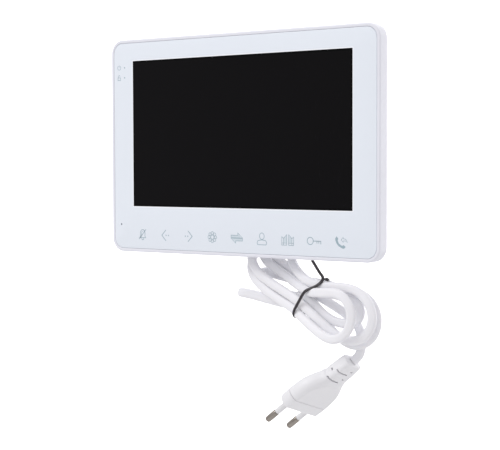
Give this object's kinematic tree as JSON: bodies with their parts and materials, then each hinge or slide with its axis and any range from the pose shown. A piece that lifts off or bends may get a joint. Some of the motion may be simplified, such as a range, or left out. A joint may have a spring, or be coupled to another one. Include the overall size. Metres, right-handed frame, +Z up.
{
  "type": "video intercom monitor",
  "caption": "Wall-mounted indoor video intercom monitor with a touch-key glass front, a hook-on wall bracket and a tied mains lead ending in a two-pin plug.",
  "frame": {"origin": "centre of the wall bracket's rear face, on the wall plane", "axes": "+X to the right of a person facing the screen, +Y into the wall, +Z up; the screen faces -Y"},
  "size_m": [0.205, 0.0309, 0.2442],
  "materials": {
    "bracket_steel": "zinc-plated pressed steel, satin",
    "frame_plastic": "white moulded ABS, semi-gloss",
    "front_glass": "clear sheet printed bluish white on its back, black display window, grey key symbols",
    "foam": "black closed-cell foam",
    "display_black": "dark display panel in a black tray",
    "board_green": "green solder mask",
    "board_tan": "tan phenolic board",
    "light_pipe": "clear acrylic",
    "microphone_can": "drawn aluminium can",
    "microphone_rubber": "black rubber",
    "transformer_tape": "yellow tape over a ferrite core",
    "capacitor_sleeve": "dark shrink sleeve",
    "fuse_glass": "clear glass tube",
    "ribbon_plastic": "white polyester film",
    "speaker_black": "black paper cone in a black basket",
    "housing_plastic": "white moulded ABS, fine spark texture",
    "header_nylon": "natural nylon",
    "switch_black": "black nylon",
    "gland_rubber": "white flexible PVC",
    "cord_pvc": "white flexible PVC, flat two-core flex",
    "tie_black": "black plastic-covered wire",
    "plug_plastic": "white moulded PVC, satin",
    "pin_nickel": "nickel-plated brass",
    "sleeve_plastic": "white insulating sleeve",
    "screw_zinc": "zinc-plated steel"
  },
  "bodies": {
    "bracket": {"wall_bracket": "bracket_steel"},
    "monitor": {"board_screw_1": "screw_zinc", "board_screw_2": "screw_zinc", "board_screw_3": "screw_zinc", "board_screw_4": "screw_zinc", "capacitor": "capacitor_sleeve", "cord_gland": "gland_rubber", "cord_hank": "cord_pvc", "cord_lead": "cord_pvc", "cord_tail": "cord_pvc", "display_ribbon": "ribbon_plastic", "front_frame": "frame_plastic", "front_glass": "front_glass", "fuse": "fuse_glass", "header_camera": "header_nylon", "header_door_1": "header_nylon", "header_door_2": "header_nylon", "header_gate": "header_nylon", "housing_screw_1": "screw_zinc", "housing_screw_2": "screw_zinc", "housing_screw_3": "screw_zinc", "housing_screw_4": "screw_zinc", "indicator_board": "board_green", "lcd_gasket": "foam", "lcd_module": "display_black", "light_pipe_1": "light_pipe", "light_pipe_2": "light_pipe", "main_board": "board_green", "microphone": "microphone_can", "microphone_boot": "microphone_rubber", "pin_sleeve_1": "sleeve_plastic", "pin_sleeve_2": "sleeve_plastic", "plug_body": "plug_plastic", "plug_front": "plug_plastic", "plug_pin_1": "pin_nickel", "plug_pin_2": "pin_nickel", "power_supply_board": "board_tan", "power_switch": "switch_black", "rear_housing": "housing_plastic", "speaker": "speaker_black", "supply_screw_1": "screw_zinc", "supply_screw_2": "screw_zinc", "touch_board": "board_green", "transformer": "transformer_tape", "twist_tie": "tie_black"},
    "switch_knob": {"power_switch_knob": "switch_black"}
  },
  "joints": [
    {"name": "monitor_lift", "type": "slide", "parent": "bracket", "child": "monitor", "axis": [0, 0, 1], "range_m": [0, 0.0034]},
    {"name": "power_switch_slide", "type": "slide", "parent": "monitor", "child": "switch_knob", "axis": [1, 0, 0], "range_m": [0, 0.003]}
  ]
}
